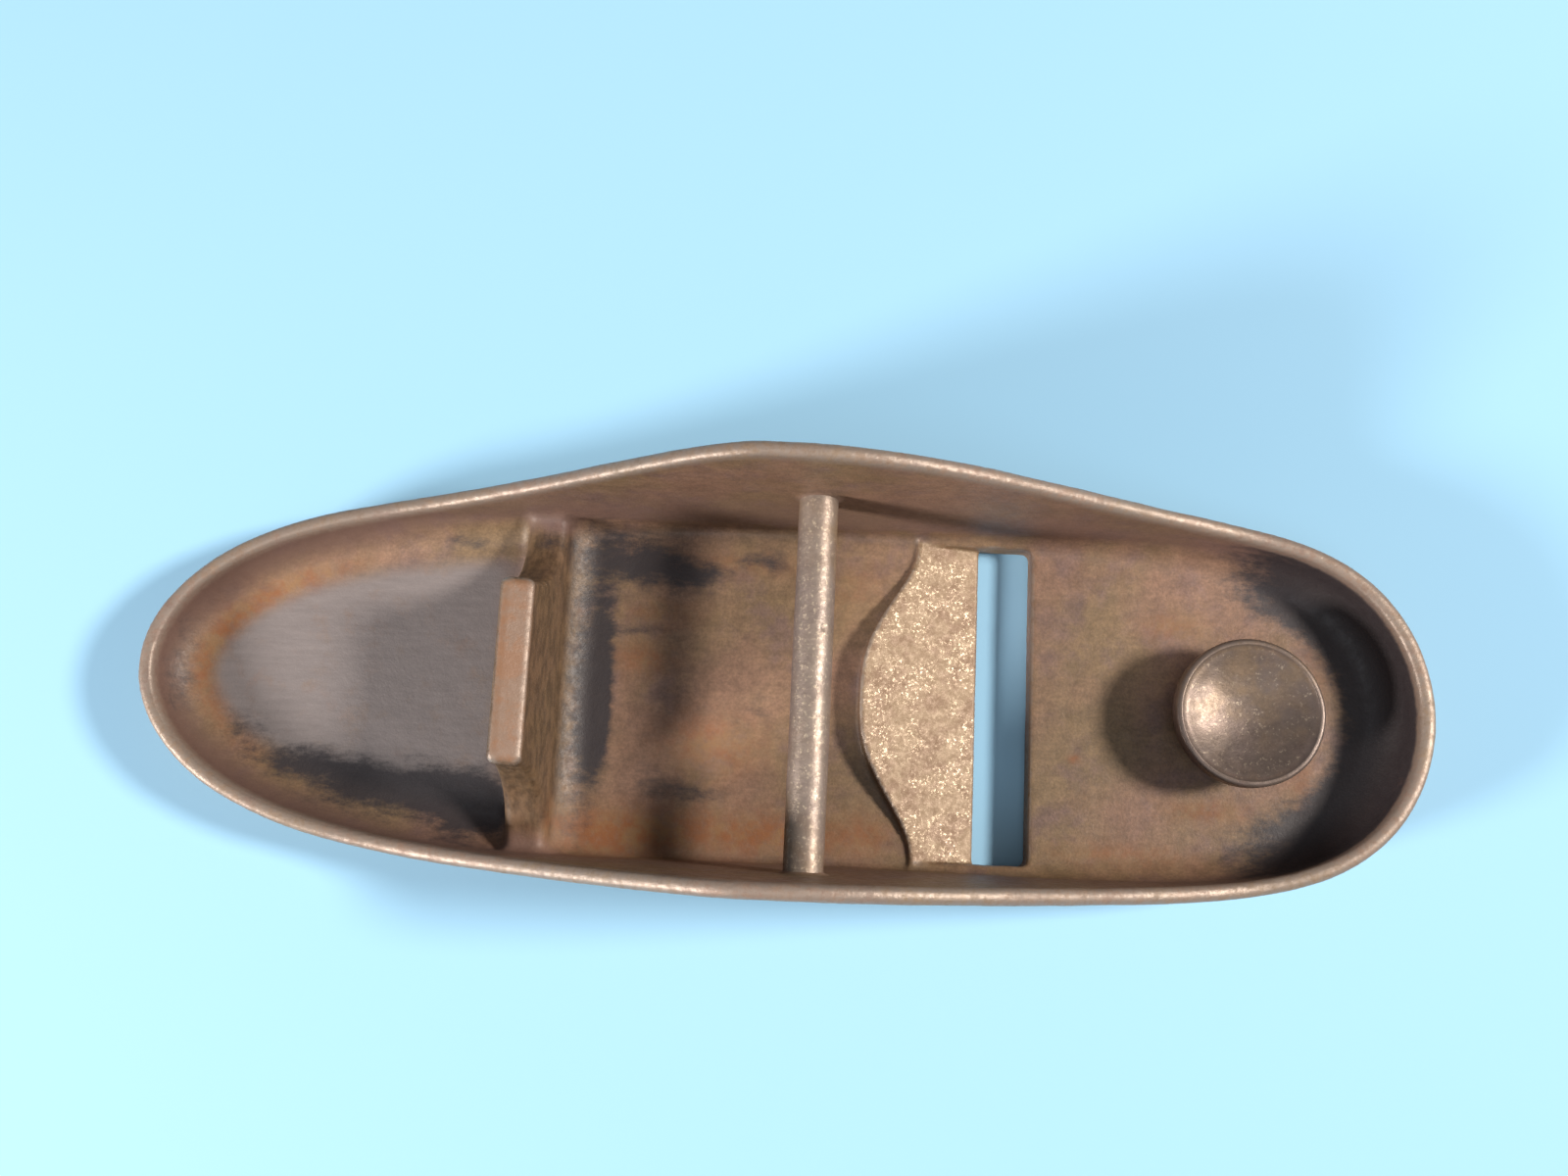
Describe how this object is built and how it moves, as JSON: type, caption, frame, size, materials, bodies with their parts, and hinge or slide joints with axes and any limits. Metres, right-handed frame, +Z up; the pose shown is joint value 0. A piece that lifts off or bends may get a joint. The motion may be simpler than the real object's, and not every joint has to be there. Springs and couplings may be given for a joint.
{
  "type": "block plane body",
  "caption": "Boat-shaped iron block plane body with low-angle cutter bed, mouth slot, rear rest, cross rod between humped cheeks and dished finger rest.",
  "frame": {"origin": "on the underside of the sole, at the middle of the length and width", "axes": "+X to the toe, +Y across the sole, +Z up from the sole"},
  "size_m": [0.1396, 0.0436, 0.0295],
  "materials": {
    "patinated_iron": "brown patina with patches of rust and a bright, worn rim and bed",
    "worn_rod": "handled iron, blue-grey with brown patina and fine bright speckles",
    "worn_finger_rest": "handled iron, brown patina rubbed bright in the dish and on its rim"
  },
  "bodies": {
    "root": {"body_casting": "patinated_iron", "cross_rod": "worn_rod", "finger_rest": "worn_finger_rest"}
  },
  "joints": []
}
